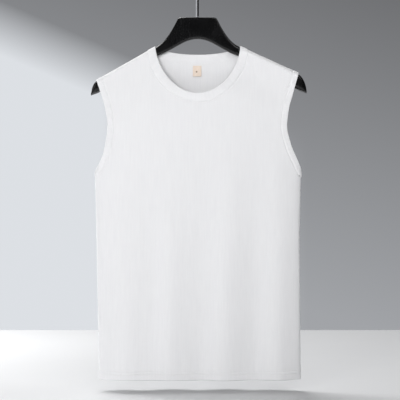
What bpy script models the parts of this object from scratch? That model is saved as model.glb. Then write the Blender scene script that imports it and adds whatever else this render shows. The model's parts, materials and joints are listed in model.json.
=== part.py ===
"""A sleeveless crew-neck t-shirt on a contoured hanger, each cut and sewn piece a closed solid.

Sizes are in metres, +Z is up, the front faces -Y and left is -X. The origin is the inside of the
hook's top, where a rail carries it. The cloth's pieces are walls raised outward from one inner
surface, which lies on the hanger's arms at the shoulders and hangs free below them.
"""

import math

import bmesh
import bpy
import numpy as np

# Cloth walls
WALL = 0.0016  # jersey of the panels
RIB_WALL = 0.0024  # ribbed neckband
TRIM_WALL = 0.0022  # armhole bands
HEM_TURN = 0.0014  # turned-up cloth inside the hem
HEM_WIDTH = 0.019
HEM_STEP = 0.001
SEAM_GAP = 0.0004
FRONT, BACK = -1.0, 1.0  # the side of the middle plane that each face lies on


def table(names, rows):
    """The rows as one array for each named column."""
    return {name: np.array(values) for name, values in zip(names, zip(*rows))}


# Outer sizes of the body at each height: its half widths, and its bulge to the front and the back.
# Above the underarm the widths run on past the armholes.
SECTIONS = table(
    ("height", "left", "right", "front", "back"),
    (
        (-0.850, 0.2068, 0.2171, 0.0325, 0.0310),
        (-0.735, 0.2087, 0.2161, 0.0305, 0.0290),
        (-0.621, 0.2110, 0.2153, 0.0290, 0.0270),
        (-0.558, 0.2121, 0.2149, 0.0285, 0.0260),
        (-0.483, 0.2136, 0.2163, 0.0280, 0.0250),
        (-0.432, 0.2148, 0.2176, 0.0275, 0.0245),
        (-0.414, 0.2145, 0.2185, 0.0270, 0.0240),
        (-0.382, 0.2210, 0.2240, 0.0262, 0.0230),
        (-0.306, 0.2340, 0.2340, 0.0238, 0.0205),
        (-0.222, 0.2480, 0.2480, 0.0205, 0.0180),
        (-0.120, 0.2600, 0.2600, 0.0170, 0.0150),
    ),
)
HEM = SECTIONS["height"][0]
SIDE_POWER = 2.5  # a higher power makes the sections flatter, with rounder sides

# Top of the shoulders, carried on across the neck, where there is no cloth
SHOULDERS = table(
    ("across", "height"),
    (
        (-0.2400, -0.2383),
        (-0.2119, -0.2223),
        (-0.0884, -0.1520),
        (-0.0750, -0.1444),
        (0.0000, -0.1300),
        (0.0750, -0.1446),
        (0.0901, -0.1515),
        (0.2123, -0.2076),
        (0.2400, -0.2203),
    ),
)
SHOULDER_ROLL = 0.0075  # height over which the cloth turns over the hanger's arm
HUG_DEPTH = 0.030  # the cloth lies against the arm down to here below the shoulder
FREE_DEPTH = 0.115  # and hangs free from here

# Finished edge of each armhole, from the underarm to the shoulder
ARMHOLE_NAMES = ("height", "across")
ARMHOLES = {
    "left": table(
        ARMHOLE_NAMES,
        (
            (-0.4145, -0.2145),
            (-0.4071, -0.2108),
            (-0.3945, -0.2037),
            (-0.3819, -0.1984),
            (-0.3567, -0.1922),
            (-0.3189, -0.1880),
            (-0.2811, -0.1934),
            (-0.2559, -0.2003),
            (-0.2223, -0.2119),
        ),
    ),
    "right": table(
        ARMHOLE_NAMES,
        (
            (-0.4145, 0.2185),
            (-0.4071, 0.2160),
            (-0.3945, 0.2112),
            (-0.3819, 0.2054),
            (-0.3567, 0.1951),
            (-0.3189, 0.1873),
            (-0.2811, 0.1920),
            (-0.2559, 0.1988),
            (-0.2076, 0.2123),
        ),
    ),
}
TRIM_WIDTH = 0.0128

# Neck: half width and lowest height of the band's free edge and of its seam. The power shapes each
# curve, from 2 for an ellipse to 1 for a parabola.
NECK_MIDDLE = 0.0010
NECK_HALF_WIDTH = {"edge": 0.0887, "seam": 0.1058}
NECK_LOW = {FRONT: {"edge": -0.2507, "seam": -0.2695}, BACK: {"edge": -0.1685, "seam": -0.1885}}
NECK_POWER = {FRONT: 1.65, BACK: 1.30}

# Hanging folds: a positive depth stands out and a negative one sinks in. Each starts at its top,
# grows down to the hem and leans across as it falls.
FOLD_NAMES = ("across", "spread", "depth", "top", "lean")
FOLD_GROWTH = 1.2
FOLDS = {
    FRONT: table(
        FOLD_NAMES,
        (
            (-0.164, 0.035, 0.0100, -0.373, 0.04),
            (-0.080, 0.033, -0.0068, -0.375, -0.04),
            (-0.065, 0.023, 0.0066, -0.363, 0.04),
            (0.014, 0.040, -0.0115, -0.334, 0.00),
            (0.048, 0.024, 0.0068, -0.310, 0.04),
            (0.118, 0.033, -0.0110, -0.280, 0.02),
            (0.169, 0.025, 0.0065, -0.274, 0.01),
        ),
    ),
    BACK: table(
        FOLD_NAMES,
        (
            (-0.172, 0.028, 0.0060, -0.320, 0.04),
            (-0.118, 0.026, -0.0080, -0.360, 0.03),
            (-0.060, 0.024, 0.0050, -0.420, 0.01),
            (-0.008, 0.030, -0.0070, -0.400, -0.02),
            (0.054, 0.026, 0.0065, -0.340, -0.02),
            (0.108, 0.022, -0.0060, -0.390, 0.00),
            (0.160, 0.032, 0.0055, -0.310, -0.04),
        ),
    ),
}

# Hanger: its plate, outward from the middle. Past the plate each arm follows the shoulder.
PLATE = table(
    ("across", "top", "bottom", "roll"),
    (
        (0.0000, -0.0900, -0.1368, 0.0022),
        (0.0130, -0.0900, -0.1382, 0.0022),
        (0.0260, -0.0900, -0.1427, 0.0022),
        (0.0382, -0.0900, -0.1493, 0.0022),
        (0.0404, -0.0925, -0.1505, 0.0026),
        (0.0470, -0.1055, -0.1543, 0.0034),
        (0.0550, -0.1200, -0.1588, 0.0042),
        (0.0650, -0.1345, -0.1641, 0.0052),
        (0.0760, -0.1458, -0.1692, 0.0062),
    ),
)
ARM_ROOT = 0.0870
ARM_SHOULDER = 0.2085  # the arm's top leaves the shoulder here and turns down to its end
ARM_HALF_DEPTH = {"root": 0.0068, "end": 0.0160}
ARM_HEIGHT = {"root": 0.0200, "left": 0.0275, "right": 0.0362}
ARM_REACH = {"left": 0.2232, "right": 0.2292}
ARM_BOTTOM_ROLL = 0.0045
ARM_STEPS = 6
END_SLOPE = 0.35  # fall of the underside of each end
END_HEIGHT = 0.0035  # height of the blunt end
END_SHARE = 0.45  # its depth, as a share of the arm's
END_STEPS = 6
BOTTOM_STEPS = 2

# Hook
WIRE_RADIUS = 0.0031
HOOK_RADIUS = 0.0175  # inside of the loop
HOOK_FLARE = math.radians(62)  # turn of the wire out of its stem
HOOK_END = math.radians(202)
STEM_STEPS = 2
FLARE_STEPS = 7
LOOP_STEPS = 24
TIP_STEPS = 3
WIRE_SIDES = 10

# Label inside the back, under the neckband
LABEL_MIDDLE = -0.0006
LABEL_WIDTH = 0.0180
LABEL_TOP = -0.1925
LABEL_HEIGHT = 0.0210
LABEL_WALL = 0.0010
LABEL_CELLS = 4

# Grids of the panels
FLAT_COLUMNS = 13  # from the middle to where the side rounds
ROUND_COLUMNS = 3
ROUND_SHARE = 0.06
NECK_COLUMNS = 5
ROLL_ROWS = 4
STRAP_ROWS = {FRONT: 3, BACK: 1}
ARMHOLE_ROWS = 14
ARMHOLE_GRADING = 1.35  # crowds the armhole's rows towards the underarm
BODY_ROWS = 16

# Finishes
JERSEY = ("white_jersey", (0.83, 0.83, 0.84), 0.9, 0.0)
RIB = ("white_rib", (0.84, 0.84, 0.85), 0.9, 0.0)
TRIM = ("white_trim", (0.84, 0.84, 0.85), 0.9, 0.0)
TAPE = ("cream_label", (0.87, 0.75, 0.64), 0.75, 0.0)
PLASTIC = ("black_plastic", (0.012, 0.012, 0.013), 0.22, 0.0)
STEEL = ("bright_steel", (0.78, 0.78, 0.80), 0.18, 1.0)


def smooth(xs, ys, x):
    """Height at x of a curve through the points that never swings past them."""
    step = np.diff(xs)
    slope = np.diff(ys) / step
    before, after = slope[:-1], slope[1:]
    same_way = before * after > 0
    mean = 2 * before * after / np.where(same_way, before + after, 1.0)
    tangent = np.concatenate(([slope[0]], np.where(same_way, mean, 0.0), [slope[-1]]))
    x = np.clip(x, xs[0], xs[-1])
    k = np.clip(np.searchsorted(xs, x) - 1, 0, len(step) - 1)
    t = (x - xs[k]) / step[k]
    start = (1 + 2 * t) * (1 - t) ** 2 * ys[k] + t * (1 - t) ** 2 * step[k] * tangent[k]
    end = t**2 * (3 - 2 * t) * ys[k + 1] + t**2 * (t - 1) * step[k] * tangent[k + 1]
    return start + end


def ease(t):
    t = np.clip(t, 0.0, 1.0)
    return t * t * (3 - 2 * t)


def half_width(x, z):
    """Inner half width of the body on the side of x."""
    left = smooth(SECTIONS["height"], SECTIONS["left"], z)
    right = smooth(SECTIONS["height"], SECTIONS["right"], z)
    return np.where(np.asarray(x) < 0, left, right) - WALL


def ridge(x):
    """Height of the cloth's inner surface along the top of the shoulders."""
    across, height = SHOULDERS["across"], SHOULDERS["height"]
    step = 0.001
    rise = (smooth(across, height, x + step) - smooth(across, height, x - step)) / (2 * step)
    return smooth(across, height, x) - WALL * np.sqrt(1 + rise**2)


def arm_half_depth(x):
    share = np.clip((np.abs(x) - ARM_ROOT) / (ARM_SHOULDER - ARM_ROOT), 0.0, 1.0)
    return ARM_HALF_DEPTH["root"] + (ARM_HALF_DEPTH["end"] - ARM_HALF_DEPTH["root"]) * share


def folds(face, x, z):
    total = np.zeros(np.broadcast(x, z).shape)
    for across, spread, depth, top, lean in zip(*FOLDS[face].values()):
        middle = across + lean * (z - HEM)
        growth = np.clip((top - z) / (top - HEM), 0.0, 1.0) ** FOLD_GROWTH
        total = total + depth * growth * np.exp(-(((x - middle) / spread) ** 2))
    return total


def cloth_depth(face, x, z):
    """Distance of the cloth's inner surface from the garment's middle plane."""
    share = np.clip(np.abs(x) / half_width(x, z), 0.0, 1.0)
    bulge = smooth(SECTIONS["height"], SECTIONS["front" if face == FRONT else "back"], z) - WALL
    body = bulge * np.sqrt(1 - share**SIDE_POWER)
    below = np.clip(ridge(x) - z, 0.0, None)
    arm = arm_half_depth(x) + SEAM_GAP
    hung = arm + (body - arm) * ease((below - HUG_DEPTH) / (FREE_DEPTH - HUG_DEPTH))
    roll = np.sqrt(1 - (1 - np.clip(below / SHOULDER_ROLL, 0.0, 1.0)) ** 2)
    return hung * roll + folds(face, x, z) * (1 - share**8)


def outward(face, x, z):
    """Unit normals of the inner surface, pointing out of the garment."""
    step = 0.0002
    across = (cloth_depth(face, x + step, z) - cloth_depth(face, x - step, z)) / (2 * step)
    up = (cloth_depth(face, x, z + step) - cloth_depth(face, x, z - step)) / (2 * step)
    normal = np.stack((-across, np.full_like(across, face), -up), axis=-1)
    return normal / np.linalg.norm(normal, axis=-1, keepdims=True)


def on_cloth(face, x, z):
    """Points of the inner surface and their normals. On a side or a shoulder seam both are level with it."""
    x, z = np.asarray(x, float), np.asarray(z, float)
    inset = 0.0006
    depth = cloth_depth(face, x, z)
    at_seam = depth < inset
    at_side = np.abs(x) > half_width(x, z) - inset
    inner_x = np.where(at_seam & at_side, x - np.sign(x) * inset, x)
    inner_z = np.where(at_seam & ~at_side, z - inset, z)
    normal = outward(face, inner_x, inner_z)
    normal[..., 1] = np.where(at_seam, 0.0, normal[..., 1])
    normal /= np.linalg.norm(normal, axis=-1, keepdims=True)
    return np.stack((x, face * np.where(at_seam, 0.0, depth), z), axis=-1), normal


def roll_drops():
    """Drops below the shoulder of the rows that turn over it."""
    return SHOULDER_ROLL * (1 - np.cos(np.linspace(0.0, math.pi / 2, ROLL_ROWS + 1)))


def neck_line(face, part, side, gap=0.0):
    """One side of a neckline, across and up, from the shoulder to the middle."""
    sign = -1 if side == "left" else 1
    width = NECK_HALF_WIDTH[part] + gap
    top = float(ridge(NECK_MIDDLE + sign * width))
    drop = top - NECK_LOW[face][part] + gap
    power = NECK_POWER[face]
    rolled = roll_drops()
    start = math.asin((rolled[-1] / drop) ** (power / 2))
    turn = np.linspace(start, math.pi / 2, STRAP_ROWS[face] + NECK_COLUMNS + 1)
    down = np.concatenate((rolled[:-1], drop * np.sin(turn) ** (2 / power)))
    x = NECK_MIDDLE + sign * width * np.sqrt(np.clip(1 - (down / drop) ** power, 0.0, 1.0))
    return np.stack((x, np.where(down < rolled[-1], ridge(x), top) - down), axis=-1)


def armhole_edge(side):
    """An armhole's finished edge, across and up, from the shoulder to the underarm."""
    heights, across = ARMHOLES[side].values()
    rolled = ridge(across[-1]) - roll_drops()
    t = np.linspace(0.0, 1.0, ARMHOLE_ROWS + 1)[1:]
    rest = rolled[-1] + (heights[0] - rolled[-1]) * (1 - (1 - t) ** ARMHOLE_GRADING)
    z = np.concatenate((rolled, rest))
    x = smooth(heights, across, z)
    x[-1] = math.copysign(half_width(x[-1], z[-1]), x[-1])
    return np.stack((x, z), axis=-1)


def armhole_seam(side, face, gap=0.0):
    """The armhole's seam: its finished edge moved over the cloth by the band's width."""
    x, z = armhole_edge(side).T
    points, _ = on_cloth(face, x, z)
    along = np.gradient(points, axis=0)
    along[0] = (0.0, face, 0.0)
    along[-1] = (0.0, -face, 0.0)
    steps = 4
    for _ in range(steps):
        _, normal = on_cloth(face, x, z)
        way = np.cross(normal, along) * face * np.sign(x[0])
        way /= np.linalg.norm(way, axis=-1, keepdims=True)
        x = x + way[:, 0] * (TRIM_WIDTH + gap) / steps
        z = z + way[:, 2] * (TRIM_WIDTH + gap) / steps
    rolled = slice(0, ROLL_ROWS + 1)
    z[rolled] = ridge(x[rolled]) - roll_drops()
    x[-1] = math.copysign(half_width(x[-1], z[-1]), x[-1])
    return np.stack((x, z), axis=-1)


def straight(start, end, count):
    t = np.linspace(0.0, 1.0, count)[:, None]
    return start * (1 - t) + end * t


def filled(low, high, left, right):
    """Rows of points inside four edges that share their corners."""
    across = np.linspace(0.0, 1.0, len(low))[None, :, None]
    up = np.linspace(0.0, 1.0, len(left))[:, None, None]
    rows = low[None] * (1 - up) + high[None] * up
    columns = left[:, None] * (1 - across) + right[:, None] * across
    corners = rows[:, :1] * (1 - across) + rows[:, -1:] * across
    return rows + columns - corners


def column_shares():
    """Places of a panel's columns from -1 at its left side to 1 at its right."""
    flat = np.linspace(0.0, 1.0 - ROUND_SHARE, FLAT_COLUMNS + 1)
    rounded = 1 - ROUND_SHARE * (1 - np.linspace(0.0, 1.0, ROUND_COLUMNS + 1)[1:]) ** 2
    half = np.concatenate((flat, rounded))
    return np.concatenate((-half[:0:-1], half))


def body_rows(shares, underarm):
    """Rows from the hem to the underarm, whose heights at the two sides are given."""
    hem_share = HEM_WIDTH / (underarm.mean() - HEM)
    step_share = HEM_STEP / (underarm.mean() - HEM)
    levels = np.concatenate(([0.0, hem_share - step_share], np.linspace(hem_share, 1.0, BODY_ROWS + 1)))
    top = underarm[0] + (underarm[1] - underarm[0]) * (shares + 1) / 2
    z = HEM + levels[:, None] * (top - HEM)
    return np.stack((shares * half_width(shares, z), z), axis=-1)


def strap_rows(foot, left, right):
    """Rows from a strap's foot to the shoulder, between an armhole and the neck."""
    top = straight(left[-1], right[-1], len(foot))
    rows = filled(foot, top, left, right)
    for drop, row in zip(roll_drops(), rows[::-1]):
        row[:, 1] = ridge(row[:, 0]) - drop
    return rows


def grid_quads(index):
    low, high = index[:-1], index[1:]
    corners = (low[:, :-1], low[:, 1:], high[:, 1:], high[:, :-1])
    return np.stack(corners, axis=-1).reshape(-1, 4)


def panel_pattern(face):
    """A panel's points across and up, and its quads: the body, with a strap up each side of the neck."""
    arm = {side: armhole_seam(side, face, SEAM_GAP) for side in ARMHOLES}
    neck = {side: neck_line(face, "seam", side, SEAM_GAP) for side in ARMHOLES}
    shares = column_shares()
    foot = ROLL_ROWS + STRAP_ROWS[face]
    strap = len(shares) // 2 - NECK_COLUMNS + 1

    body = body_rows(shares, np.array([arm["left"][-1, 1], arm["right"][-1, 1]]))
    feet = {
        "left": straight(arm["left"][foot], neck["left"][foot], strap),
        "right": straight(neck["right"][foot], arm["right"][foot], strap),
    }
    scoop = np.concatenate((neck["left"][foot + 1 :], neck["right"][foot + 1 : -1][::-1]))
    chest_top = np.concatenate((feet["left"], scoop, feet["right"]))
    chest = filled(body[-1], chest_top, arm["left"][foot:][::-1], arm["right"][foot:][::-1])
    grid = np.concatenate((body, chest[1:]))
    index = np.arange(grid.shape[0] * grid.shape[1]).reshape(grid.shape[:2])
    points, quads = [grid.reshape(-1, 2)], [grid_quads(index)]

    ends = {"left": (arm["left"], neck["left"]), "right": (neck["right"], arm["right"])}
    shared = {"left": index[-1, :strap], "right": index[-1, -strap:]}
    count = index.size
    for side in ARMHOLES:
        left, right = (edge[foot::-1] for edge in ends[side])
        rows = strap_rows(feet[side], left, right)[1:]
        own = count + np.arange(rows.shape[0] * rows.shape[1]).reshape(rows.shape[:2])
        points.append(rows.reshape(-1, 2))
        quads.append(grid_quads(np.concatenate((shared[side][None], own))))
        count += own.size
    return np.concatenate(points), np.concatenate(quads)


def material(name, colour, roughness, metallic):
    made = bpy.data.materials.new(name)
    made.use_nodes = True
    shader = made.node_tree.nodes["Principled BSDF"]
    shader.inputs["Base Color"].default_value = (*colour, 1.0)
    shader.inputs["Roughness"].default_value = roughness
    shader.inputs["Metallic"].default_value = metallic
    made.diffuse_color = (*colour, 1.0)
    return made


def solid(name, points, faces, finish, sharp=50):
    """A closed mesh object in its own material, hung from the hook's empty."""
    mesh = bpy.data.meshes.new(name)
    shape = bmesh.new()
    corners = [shape.verts.new(point) for point in np.asarray(points).tolist()]
    for face in faces:
        shape.faces.new([corners[corner] for corner in face])
    bmesh.ops.recalc_face_normals(shape, faces=shape.faces)
    shape.to_mesh(mesh)
    shape.free()
    mesh.materials.append(material(*finish))
    mesh.shade_smooth()
    mesh.set_sharp_from_angle(angle=math.radians(sharp))
    made = bpy.data.objects.new(name, mesh)
    made.parent = bpy.data.objects["hanging_point"]
    bpy.context.collection.objects.link(made)
    return made


def wall(name, outer, inner, quads, finish):
    """A wall between two sheets of points, closed along every free edge."""
    count = len(outer)
    outside = [tuple(quad) for quad in quads.tolist()]
    inside = [tuple(corner + count for corner in quad[::-1]) for quad in outside]
    runs = {(quad[k - 1], quad[k]) for quad in outside for k in range(4)}
    rims = [(end, start, start + count, end + count) for start, end in sorted(runs) if (end, start) not in runs]
    return solid(name, np.concatenate((outer, inner)), outside + inside + rims, finish)


def tube(name, loops, finish, closed, sharp=50):
    """A solid through loops of points, which runs round on itself or is capped at both ends."""
    count, around = loops.shape[:2]
    index = np.arange(count * around).reshape(count, around)
    index = np.concatenate((index, index[:, :1]), axis=1)
    faces = [] if closed else [tuple(index[0, :-1].tolist()), tuple(index[-1, :-1].tolist())]
    if closed:
        index = np.concatenate((index, index[:1]))
    faces += [tuple(quad) for quad in grid_quads(index).tolist()]
    return solid(name, loops.reshape(-1, 3), faces, finish, sharp)


def panel(name, face):
    pattern, quads = panel_pattern(face)
    points, normals = on_cloth(face, *pattern.T)
    points[:, 1] = face * np.maximum(np.abs(points[:, 1]), SEAM_GAP / 2)
    turned = pattern[:, 1] < HEM + HEM_WIDTH - HEM_STEP / 2
    inner = points - normals * np.where(turned, HEM_TURN, 0.0)[:, None]
    return wall(name, points + normals * WALL, inner, quads, JERSEY)


def band_loops(face, edge, seam, thickness):
    """Sections of a band between its free edge and its seam, with a rounded edge."""
    places = np.stack((edge, (edge + seam) / 2, seam), axis=1)
    for place, drop in zip(places, roll_drops()):
        place[:, 1] = ridge(place[:, 0]) - drop
    points, normals = on_cloth(face, places[..., 0], places[..., 1])
    across = points[:, 2] - points[:, 0]
    across /= np.linalg.norm(across, axis=-1, keepdims=True)
    bevel = across * thickness * 0.4
    low = (points[:, 0] + bevel, points[:, 1], points[:, 2] - bevel / 2)
    high = [point + normals[:, k] * thickness for k, point in enumerate(low)]
    rims = [points[:, k] + normals[:, k] * thickness / 2 for k in (0, 2)]
    return np.stack((*low, rims[1], *high[::-1], rims[0]), axis=1)


def neckband():
    loops = []
    for face, sides in ((FRONT, ("left", "right")), (BACK, ("right", "left"))):
        first, second = (
            band_loops(face, neck_line(face, "edge", side), neck_line(face, "seam", side), RIB_WALL)
            for side in sides
        )
        loops += [first[:-1], second[:0:-1]]
    return tube("neckband", np.concatenate(loops), RIB, closed=True)


def armhole_band(side):
    front, back = (
        band_loops(face, armhole_edge(side), armhole_seam(side, face), TRIM_WALL) for face in (FRONT, BACK)
    )
    return tube(f"armhole_band_{side}", np.concatenate((front, back[-2:0:-1])), TRIM, closed=True)


def label():
    x = LABEL_MIDDLE + LABEL_WIDTH * np.linspace(-0.5, 0.5, LABEL_CELLS + 1)
    z = LABEL_TOP - LABEL_HEIGHT * np.linspace(1.0, 0.0, LABEL_CELLS + 1)
    points, normals = on_cloth(BACK, *(place.ravel() for place in np.meshgrid(x, z)))
    quads = grid_quads(np.arange(len(points)).reshape(len(z), len(x)))
    near = points - normals * (SEAM_GAP + LABEL_WALL)
    return wall("label", near, points - normals * SEAM_GAP, quads, TAPE)


def arm_rows(side):
    """Rows of an arm from its root to its end: across, top, bottom, half depth and roll."""
    sign = -1 if side == "left" else 1
    x = np.linspace(ARM_ROOT, ARM_SHOULDER, ARM_STEPS + 1)
    share = np.linspace(0.0, 1.0, ARM_STEPS + 1)
    height = ARM_HEIGHT["root"] + (ARM_HEIGHT[side] - ARM_HEIGHT["root"]) * share
    top = ridge(sign * x) - SEAM_GAP
    roll = np.full_like(x, SHOULDER_ROLL - SEAM_GAP)
    arm = np.stack((x, top, top - height, arm_half_depth(x), roll), axis=-1)

    turn = np.linspace(0.0, math.pi / 2, END_STEPS + 1)[1:]
    reach = ARM_REACH[side] - ARM_SHOULDER
    bottom = arm[-1, 2] - END_SLOPE * reach * np.sin(turn)
    tall = END_HEIGHT + (ARM_HEIGHT[side] - END_HEIGHT) * np.cos(turn)
    deep = ARM_HALF_DEPTH["end"] * (END_SHARE + (1 - END_SHARE) * np.cos(turn))
    end = np.stack((ARM_SHOULDER + reach * np.sin(turn), bottom + tall, bottom, deep, roll[: len(turn)]), axis=-1)
    return np.concatenate((arm, end)) * (sign, 1, 1, 1, 1)


def hanger_loop(row):
    """A section of the hanger, turned over at its top as the cloth is and rounded underneath."""
    across, top, bottom, deep, roll = row
    roll = min(roll, 0.45 * (top - bottom))
    under = min(ARM_BOTTOM_ROLL, 0.45 * (top - bottom))
    turn = np.linspace(0.0, math.pi / 2, ROLL_ROWS + 1)
    low_turn = np.linspace(math.pi / 2, 0.0, BOTTOM_STEPS + 1)
    y = np.concatenate((deep * np.sin(turn), deep * np.sin(low_turn)))
    z = np.concatenate((top - roll * (1 - np.cos(turn)), bottom + under * (1 - np.cos(low_turn))))
    y, z = np.concatenate((y, -y[-2:0:-1])), np.concatenate((z, z[-2:0:-1]))
    return np.stack((np.full_like(y, across), y, z), axis=-1)


def hanger():
    across, top, bottom, roll = PLATE.values()
    plate = np.stack((across, top, bottom, np.full_like(across, ARM_HALF_DEPTH["root"]), roll), axis=-1)
    left = np.concatenate((plate[1:] * (-1, 1, 1, 1, 1), arm_rows("left")))
    rows = np.concatenate((left[::-1], plate, arm_rows("right")))
    return tube("hanger", np.array([hanger_loop(row) for row in rows]), PLASTIC, closed=False, sharp=40)


def hook_route():
    """Points across and up of the wire's middle, with their directions and radii."""
    loop = HOOK_RADIUS + WIRE_RADIUS
    middle = -HOOK_RADIUS
    flare = loop * math.cos(HOOK_FLARE) / (1 - math.cos(HOOK_FLARE))
    stem_top = middle - (loop + flare) * math.sin(HOOK_FLARE)
    foot = PLATE["top"][0] + SEAM_GAP

    route = [(0.0, z, math.pi / 2, WIRE_RADIUS) for z in np.linspace(foot, stem_top, STEM_STEPS + 1)]
    for turn in np.linspace(0.0, HOOK_FLARE, FLARE_STEPS + 1)[1:]:
        bent = (flare * (1 - math.cos(turn)), stem_top + flare * math.sin(turn))
        route.append((*bent, math.pi / 2 - turn, WIRE_RADIUS))
    for turn in np.linspace(-HOOK_FLARE, HOOK_END, LOOP_STEPS + 1)[1:]:
        bent = (loop * math.cos(turn), middle + loop * math.sin(turn))
        route.append((*bent, turn + math.pi / 2, WIRE_RADIUS))
    end_x, end_z, heading, _ = route[-1]
    for turn in np.linspace(0.0, math.radians(75), TIP_STEPS + 1)[1:]:
        ahead = WIRE_RADIUS * math.sin(turn)
        tip = (end_x + ahead * math.cos(heading), end_z + ahead * math.sin(heading))
        route.append((*tip, heading, WIRE_RADIUS * math.cos(turn)))
    return route


def hook():
    turns = np.linspace(0.0, 2 * math.pi, WIRE_SIDES, endpoint=False)
    loops = []
    for x, z, heading, radius in hook_route():
        out = radius * np.cos(turns)
        loop = np.stack((x - out * math.sin(heading), radius * np.sin(turns), z + out * math.cos(heading)), axis=-1)
        loops.append(loop)
    return tube("hook", np.array(loops), STEEL, closed=False, sharp=60)


def build():
    for old in list(bpy.data.objects):
        bpy.data.objects.remove(old)
    hanging_point = bpy.data.objects.new("hanging_point", None)
    bpy.context.collection.objects.link(hanging_point)
    panel("front_panel", FRONT)
    panel("back_panel", BACK)
    neckband()
    for side in ARMHOLES:
        armhole_band(side)
    label()
    hanger()
    hook()


build()
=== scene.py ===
"""A white sleeveless t-shirt on a black hanger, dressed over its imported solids.

Sizes are in metres, +Z is up, the front faces -Y and left is -X. The origin is the inside of the
hook's top. The cloth's forms repeat the tailor's tables of the solids, with finer grids, seams,
stitches and creases.
"""

import json
import math

import bpy
import numpy as np
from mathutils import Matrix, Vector

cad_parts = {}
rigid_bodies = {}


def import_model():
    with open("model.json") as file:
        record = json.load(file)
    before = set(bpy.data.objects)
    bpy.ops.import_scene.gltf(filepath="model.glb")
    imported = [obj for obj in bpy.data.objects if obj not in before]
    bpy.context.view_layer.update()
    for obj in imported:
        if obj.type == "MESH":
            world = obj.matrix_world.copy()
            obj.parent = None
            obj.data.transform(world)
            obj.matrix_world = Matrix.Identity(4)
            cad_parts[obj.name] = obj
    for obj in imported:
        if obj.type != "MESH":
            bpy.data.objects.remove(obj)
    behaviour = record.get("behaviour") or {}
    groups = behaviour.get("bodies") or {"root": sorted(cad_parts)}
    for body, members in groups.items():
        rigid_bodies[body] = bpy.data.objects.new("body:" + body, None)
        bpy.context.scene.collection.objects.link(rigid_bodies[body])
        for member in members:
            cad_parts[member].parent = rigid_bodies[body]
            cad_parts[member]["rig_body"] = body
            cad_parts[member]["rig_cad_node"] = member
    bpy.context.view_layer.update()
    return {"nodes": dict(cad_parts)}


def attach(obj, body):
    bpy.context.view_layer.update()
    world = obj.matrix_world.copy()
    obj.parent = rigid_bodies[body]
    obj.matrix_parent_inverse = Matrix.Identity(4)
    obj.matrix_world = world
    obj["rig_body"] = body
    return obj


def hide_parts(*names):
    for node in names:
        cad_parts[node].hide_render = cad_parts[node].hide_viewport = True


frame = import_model()

FRONT, BACK = -1.0, 1.0  # the side of the middle plane that each face lies on
SIDES = ("left", "right")

# Cloth walls
WALL = 0.0016
RIB_WALL = 0.0024
TRIM_WALL = 0.0022
HEM_TURN = 0.0014  # what the turned-up cloth adds to the wall on its inside
HEM_WIDTH = 0.019
HEM_STEP = 0.001  # height over which the turned-up cloth ends
SEAM_GAP = 0.0004  # between pieces that lie on each other
FOLD_RADIUS = 0.0015  # the hem's fold is rounded over this height


def table(names, rows):
    """The rows as one array for each named column."""
    return {name: np.array(values) for name, values in zip(names, zip(*rows))}


# Outer sizes of the body at each height: half widths, and bulge to the front and the back
SECTIONS = table(("height", "left", "right", "front", "back"), (
    (-0.850, 0.2068, 0.2171, 0.0325, 0.0310),
    (-0.735, 0.2087, 0.2161, 0.0305, 0.0290),
    (-0.621, 0.2110, 0.2153, 0.0290, 0.0270),
    (-0.558, 0.2121, 0.2149, 0.0285, 0.0260),
    (-0.483, 0.2136, 0.2163, 0.0280, 0.0250),
    (-0.432, 0.2148, 0.2176, 0.0275, 0.0245),
    (-0.414, 0.2145, 0.2185, 0.0270, 0.0240),
    (-0.382, 0.2210, 0.2240, 0.0262, 0.0230),
    (-0.306, 0.2340, 0.2340, 0.0238, 0.0205),
    (-0.222, 0.2480, 0.2480, 0.0205, 0.0180),
    (-0.120, 0.2600, 0.2600, 0.0170, 0.0150),
))
HEM = SECTIONS["height"][0]
SIDE_POWER = 2.5
SIDE_CALM = 8  # power by which folds and creases die away towards the sides

# Top of the shoulders
SHOULDERS = table(("across", "height"), (
    (-0.2400, -0.2383),
    (-0.2119, -0.2223),
    (-0.0884, -0.1520),
    (-0.0750, -0.1444),
    (0.0000, -0.1300),
    (0.0750, -0.1446),
    (0.0901, -0.1515),
    (0.2123, -0.2076),
    (0.2400, -0.2203),
))
SHOULDER_ROLL = 0.0075  # height over which the cloth turns over the hanger's arm
HUG_DEPTH = 0.030  # the cloth lies against the arm down to here below the shoulder
FREE_DEPTH = 0.115  # and hangs free from here
ARM_ROOT = 0.0870
ARM_SHOULDER = 0.2085
ARM_HALF_DEPTH = {"root": 0.0068, "end": 0.0160}

# Finished edge of each armhole, from the underarm to the shoulder
ARMHOLE_NAMES = ("height", "across")
ARMHOLES = {
    "left": table(ARMHOLE_NAMES, (
        (-0.4145, -0.2145),
        (-0.4071, -0.2108),
        (-0.3945, -0.2037),
        (-0.3819, -0.1984),
        (-0.3567, -0.1922),
        (-0.3189, -0.1880),
        (-0.2811, -0.1934),
        (-0.2559, -0.2003),
        (-0.2223, -0.2119),
    )),
    "right": table(ARMHOLE_NAMES, (
        (-0.4145, 0.2185),
        (-0.4071, 0.2160),
        (-0.3945, 0.2112),
        (-0.3819, 0.2054),
        (-0.3567, 0.1951),
        (-0.3189, 0.1873),
        (-0.2811, 0.1920),
        (-0.2559, 0.1988),
        (-0.2076, 0.2123),
    )),
}
UNDERARM = ARMHOLES["left"]["height"][0]
ARMHOLE_GRADING = 1.35
TRIM_WIDTH = 0.0128
UNDERARM_TURN = 0.006  # height over which the edge comes in by the wall to the side seam

# Neck: half width and lowest height of the band's free edge and of its seam
NECK_MIDDLE = 0.0010
NECK_HALF_WIDTH = {"edge": 0.0887, "seam": 0.1058}
NECK_LOW = {FRONT: {"edge": -0.2507, "seam": -0.2695}, BACK: {"edge": -0.1685, "seam": -0.1885}}
NECK_POWER = {FRONT: 1.65, BACK: 1.30}

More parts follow.
